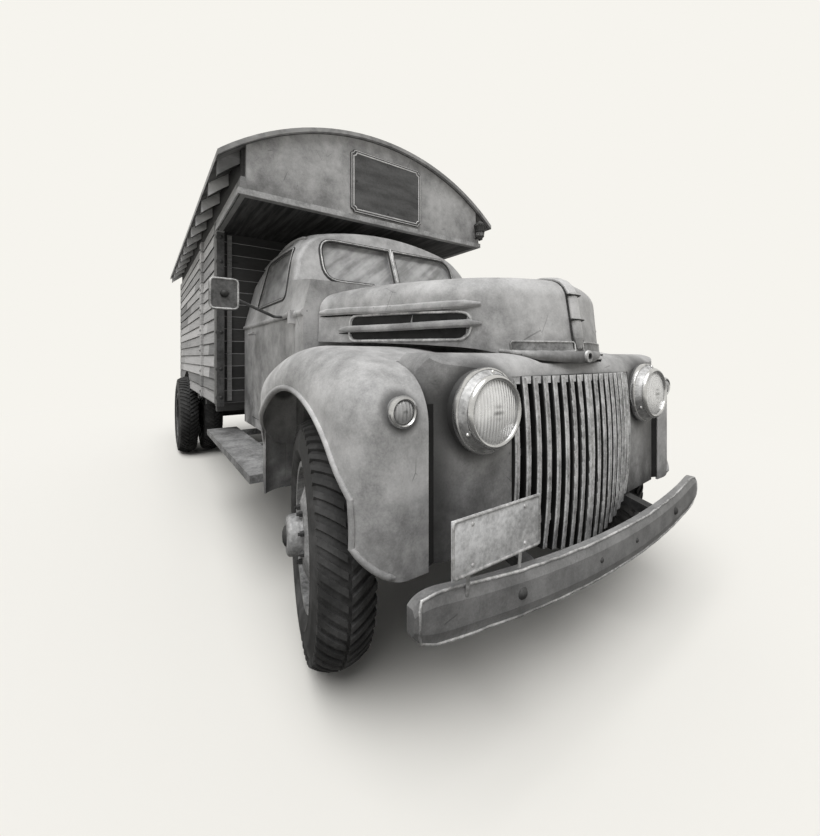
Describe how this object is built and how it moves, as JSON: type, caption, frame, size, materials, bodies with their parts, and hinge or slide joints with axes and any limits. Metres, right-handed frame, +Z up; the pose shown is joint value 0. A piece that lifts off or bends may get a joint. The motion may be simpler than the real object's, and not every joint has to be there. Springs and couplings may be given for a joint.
{
  "type": "house truck with a planked wooden body",
  "caption": "House truck of the nineteen-forties: rounded cab and fenders, upright grille, wooden house body with arched roof, turning wheels, steering, doors and hood.",
  "frame": {"origin": "on the ground under the middle of the whole vehicle", "axes": "+X forward, +Y to the left of the vehicle, +Z up"},
  "size_m": [5.73, 2.308, 2.676],
  "materials": {
    "rubber": "worn rubber",
    "steel_wheel": "worn matt grey",
    "frame_steel": "dull black",
    "cab_paint": "weathered grey",
    "glass": "clear",
    "wood": "weathered boards",
    "roof_sheet": "pale sheet",
    "chrome": "dulled",
    "cloth": "dark",
    "dark_trim": "dark",
    "pale_wood": "pale paint"
  },
  "bodies": {
    "truck": {"fender_right": "cab_paint", "house_side_right": "wood", "fender_left": "cab_paint", "house_side_left": "wood", "front_axle": "frame_steel", "rear_axle": "frame_steel", "front_springs": "frame_steel", "rear_springs": "frame_steel", "drive_shaft": "frame_steel", "engine_block": "frame_steel", "radiator": "dark_trim", "frame": "frame_steel", "cab_shell": "cab_paint", "cab_glass": "glass", "bench_seat": "cloth", "dashboard": "cab_paint", "steering_column": "dark_trim", "aprons": "cab_paint", "nose_panel": "cab_paint", "grille": "cab_paint", "headlamp_bezels": "chrome", "headlamp_lenses": "glass", "fender_lamps": "chrome", "front_bumper": "frame_steel", "bumper_brackets": "frame_steel", "running_boards": "frame_steel", "floor_joists": "wood", "house_floors": "wood", "house_front_wall": "wood", "over_cab_front": "wood", "house_rear_wall": "wood", "house_irons": "dark_trim", "roof_skin": "roof_sheet", "roof_rafters": "wood", "frieze_boards": "pale_wood", "sign_board": "dark_trim", "corner_lantern": "dark_trim"},
    "knuckle_right_body": {"knuckle_right": "frame_steel"},
    "front_wheel_right": {"tyre_front_right": "rubber", "rim_front_right": "steel_wheel"},
    "rear_wheels_right": {"tyres_rear_right": "rubber", "rims_rear_right": "steel_wheel"},
    "door_right_body": {"door_right": "cab_paint", "door_glass_right": "glass", "mirror_right": "chrome"},
    "knuckle_left_body": {"knuckle_left": "frame_steel"},
    "front_wheel_left": {"tyre_front_left": "rubber", "rim_front_left": "steel_wheel"},
    "rear_wheels_left": {"tyres_rear_left": "rubber", "rims_rear_left": "steel_wheel"},
    "door_left_body": {"door_left": "cab_paint", "door_glass_left": "glass", "mirror_left": "chrome"},
    "hood_body": {"hood": "cab_paint"},
    "rear_door_body": {"rear_door": "wood"},
    "steering_wheel_body": {"steering_wheel": "dark_trim"}
  },
  "joints": [
    {"name": "steer_right", "type": "hinge", "parent": "truck", "child": "knuckle_right_body", "pos_m": [2.12, -0.64, 0.459], "axis": [0, 0, 1], "range_deg": [-19, 45]},
    {"name": "front_wheel_right_spin", "type": "hinge", "parent": "knuckle_right_body", "child": "front_wheel_right", "pos_m": [2.08401, -0.7959, 0.459], "axis": [0.225, 0.9744, 0], "continuous": true},
    {"name": "rear_wheels_right_spin", "type": "hinge", "parent": "truck", "child": "rear_wheels_right", "pos_m": [-1.89, -0.95, 0.459], "axis": [0, 1, 0], "continuous": true},
    {"name": "door_right_hinge", "type": "hinge", "parent": "truck", "child": "door_right_body", "pos_m": [1.585, -0.782, 1.2], "axis": [0, 0, 1], "range_deg": [0, 65]},
    {"name": "steer_left", "type": "hinge", "parent": "truck", "child": "knuckle_left_body", "pos_m": [2.12, 0.64, 0.459], "axis": [0, 0, 1], "range_deg": [-19, 45]},
    {"name": "front_wheel_left_spin", "type": "hinge", "parent": "knuckle_left_body", "child": "front_wheel_left", "pos_m": [2.15599, 0.7959, 0.459], "axis": [0.225, 0.9744, 0], "continuous": true},
    {"name": "rear_wheels_left_spin", "type": "hinge", "parent": "truck", "child": "rear_wheels_left", "pos_m": [-1.89, 0.95, 0.459], "axis": [0, 1, 0], "continuous": true},
    {"name": "door_left_hinge", "type": "hinge", "parent": "truck", "child": "door_left_body", "pos_m": [1.585, 0.782, 1.2], "axis": [0, 0, -1], "range_deg": [0, 65]},
    {"name": "hood_hinge", "type": "hinge", "parent": "truck", "child": "hood_body", "pos_m": [1.728, 0, 1.548], "axis": [0, -1, 0], "range_deg": [0, 45]},
    {"name": "rear_door_hinge", "type": "hinge", "parent": "truck", "child": "rear_door_body", "pos_m": [-2.789, -0.33, 1.5], "axis": [0, 0, 1], "range_deg": [0, 105]},
    {"name": "steering_wheel_turn", "type": "hinge", "parent": "truck", "child": "steering_wheel_body", "pos_m": [1.19, 0.36, 1.33], "axis": [-0.7431, 0, 0.6691], "range_deg": [-309, 725]}
  ],
  "couplings": [
    {"joint": "steer_left", "follows": "steer_right", "ratio": 1},
    {"joint": "steering_wheel_turn", "follows": "steer_right", "ratio": 16}
  ]
}
